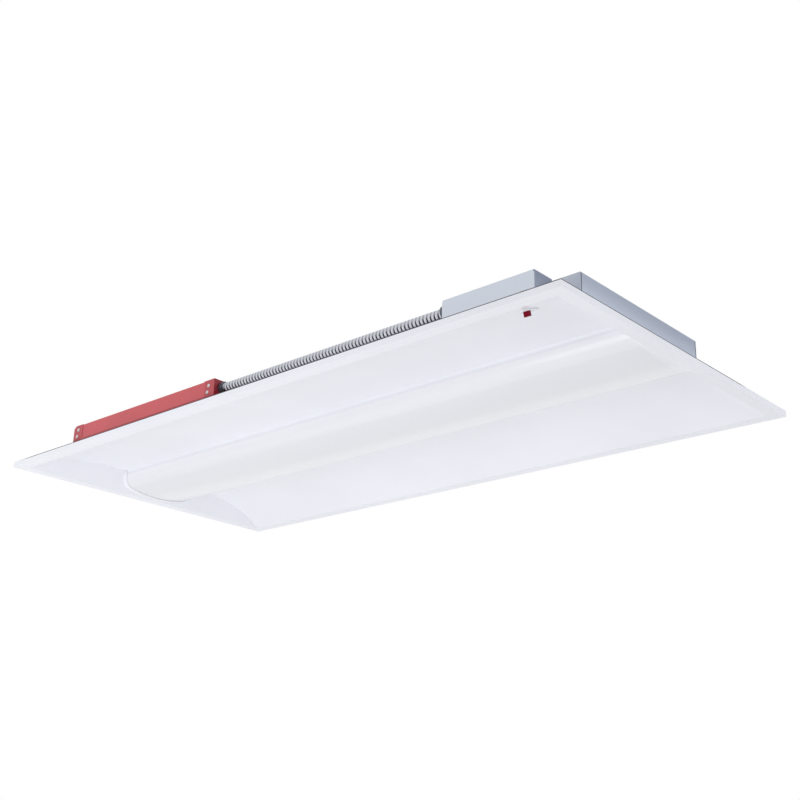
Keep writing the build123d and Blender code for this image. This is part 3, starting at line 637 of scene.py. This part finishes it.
# %% Light seals
# The section in millimetres: distance from the middle of the light, and height.
SEAL = [(86.95, 37.3), (86.3, 36.9), (85.7, 36.2), (85.2, 35.2), (84.85, 33.9), (84.65, 32.2)]
SEAL += [(84.65, 38.8), (86.95, 38.8)]
SEAL_X, SEAL_STEPS = 0.5575, 24


def seals_mesh():
    shape = bmesh.new()
    for side in (-1, 1):
        rings = []
        for step in range(SEAL_STEPS + 1):
            x = SEAL_X * (2 * step / SEAL_STEPS - 1)
            rings.append([shape.verts.new((x, side * out * MM, z * MM)) for out, z in SEAL])
        join_rings(shape, rings)
    return mesh_of(shape, "lens_seals")


piece("lens_seals", seals_mesh(), "fixture", "white_enamel", smooth=35)

# %% [markdown]
# ## Camera
# The photograph looks up at the light from below its right-hand end. The numbers come from the
# four corners of the flange, whose real places are known, and a small shift keeps the frame.

# %% Camera
CAMERA_AT = (1.35459, -1.40847, -0.6369)
CAMERA_RIGHT = (0.737548, 0.674815, 0.025444)
CAMERA_UP = (0.215169, -0.270552, 0.938352)
CAMERA_BACK = (0.640098, -0.686605, -0.344744)
FOCAL_PIXELS, FRAME_PIXELS, SHIFT_PIXELS = 1215.2, 800, 15
SENSOR, NEAREST = 36.0, 0.01

camera = bpy.data.objects.new("camera", bpy.data.cameras.new("camera"))
bpy.context.scene.collection.objects.link(camera)
axes = Matrix((CAMERA_RIGHT, CAMERA_UP, CAMERA_BACK)).transposed().to_4x4()
camera.matrix_world = Matrix.Translation(CAMERA_AT) @ axes
camera.data.sensor_width = SENSOR
camera.data.lens = SENSOR * FOCAL_PIXELS / FRAME_PIXELS
camera.data.shift_x = SHIFT_PIXELS / FRAME_PIXELS
camera.data.clip_start = NEAREST
bpy.context.scene.camera = camera
print("lens", round(camera.data.lens, 1), "mm")

# %% [markdown]
# ## World
# Product photographs like this one are lit so evenly that the room disappears. The world is the
# main light. What the camera and the metals see is plain white, while the light that falls on
# the object is a little lower, so that its white enamel still shows against the background. One
# strength for both would lose either the white or the enamel's edges.

# %% World
WORLD_LIGHT = 0.838
CAMERA_RAY, GLOSSY_RAY, TRANSMISSION_RAY = 0, 3, 6  # outputs of the Light Path node


def make_world():
    world = bpy.data.worlds.new("studio")
    bpy.context.scene.world = world
    finish = Finish("studio", world)
    rays = [CAMERA_RAY, GLOSSY_RAY, TRANSMISSION_RAY]
    seen, glossy, through = [finish.node("ShaderNodeLightPath", output=ray) for ray in rays]
    shown = (seen + glossy + through).above(0.5)
    soft = {0: shade(0.97, 0.98, 1.0), 1: WORLD_LIGHT}
    lit = finish.node("ShaderNodeBackground", sockets=soft)
    plain = finish.node("ShaderNodeBackground", sockets={0: shade(1, 1, 1), 1: 1.0})
    mixed = finish.node("ShaderNodeMixShader", sockets={0: shown, 1: lit, 2: plain})
    finish.node("ShaderNodeOutputWorld", sockets={"Surface": mixed})


make_world()
bpy.context.scene.view_settings.view_transform = "Standard"
print("world light", WORLD_LIGHT)

# %% [markdown]
# ## Floor, lamps and cards
# Four soft lamps shape the white. The fill lies on the floor and lifts the reflector's inside,
# the key puts the highlight along the lens, the near lamp lights the side with the pack, and the
# side lamp stands far out to the right and lights what faces that way. Its spread is narrow,
# which keeps its light off the floor that the photograph's view shows, though a soft patch
# remains beyond the left end. Cards work as a photographer's flags do. The metals mirror the grey
# card, and the two darker ones take some light from the right end. A card that the camera doesn't
# see can stand wherever it is needed.

# %% Floor, lamps and cards
FLOOR_Z = -2.0
OPENING = (0.0, 0, 0.03)  # the middle of the reflector, where most lamps aim
# A row: the name, half its side, its place, the way it faces, its tone, the rays that miss it.
FLOOR = ("floor", 6.0, (0, 0, FLOOR_Z), (0, 0, 1), (0.86, 0.86, 0.86), ())
CARDS = [
    ("grey_card", 1.3, (2.3, 1.75, 0.95), (-0.72, -0.62, -0.30), (0.90, 0.93, 1.0),
     ("camera", "diffuse")),
    ("dark_card", 0.45, (0.95, -1.1, 0.15), (-0.4, 1, -0.1), (0.35, 0.35, 0.35),
     ("camera", "glossy")),
    ("low_card", 0.42, (1.3, 0.1, -0.75), (-0.8, 0, 0.6), (0.15, 0.15, 0.15),
     ("camera", "glossy")),
]
# A row: the name, its place, what it aims at, its side, watts, spread, the rays that miss it.
LAMPS = [
    ("fill", (-0.2, -0.3, FLOOR_Z + 0.05), (-0.2, -0.3, 0), 3.6, 12, math.pi, ("camera",)),
    ("key", (-0.4, -1.5, -1.45), OPENING, 1.0, 6, math.pi, ("camera",)),
    ("near", (0.1, -3.1, -1.15), OPENING, 1.4, 11, math.pi, ("camera", "glossy")),
    ("side", (5.5, 0.3, -0.4), (-0.3, 0, 0.02), 2.0, 3.5, 0.7, ("camera", "glossy")),
]


def set_up(name, data, at, turn, missed):
    """Puts a lamp or a sheet in the studio and hides it from some kinds of ray."""
    thing = bpy.data.objects.new(name, data)
    thing.location = at
    thing.rotation_euler = turn.to_euler()
    for ray in missed:
        setattr(thing, "visible_" + ray, False)
    bpy.context.scene.collection.objects.link(thing)
    print(name, "at", at, "hidden from", missed or "nothing")
    return thing


def make_lamp(name, at, target, side, watts, spread, missed):
    lamp = bpy.data.lights.new(name, "AREA")
    lamp.shape = "SQUARE"
    lamp.size = side
    lamp.energy = watts
    lamp.spread = spread
    set_up(name, lamp, at, (Vector(target) - Vector(at)).to_track_quat("-Z", "Y"), missed)


def make_sheet(name, half, at, facing, tone, missed):
    """A flat square of studio paper that looks along facing."""
    mesh = bpy.data.meshes.new(name)
    corners = [(-half, -half, 0), (half, -half, 0), (half, half, 0), (-half, half, 0)]
    mesh.from_pydata(corners, [], [(0, 1, 2, 3)])
    sheet = set_up(name, mesh, at, Vector(facing).to_track_quat("Z", "Y"), missed)
    finish = Finish(name + "_paper")
    fibre = finish.noise(0.004, 3.0)
    colour = finish.blend(fibre, shade(*tone), shade(*tone, by=0.97))
    mesh.materials.append(finish.done(Base_Color=colour, Roughness=0.9))


make_sheet(*FLOOR)
for row in LAMPS:
    make_lamp(*row)
for row in CARDS:
    make_sheet(*row)
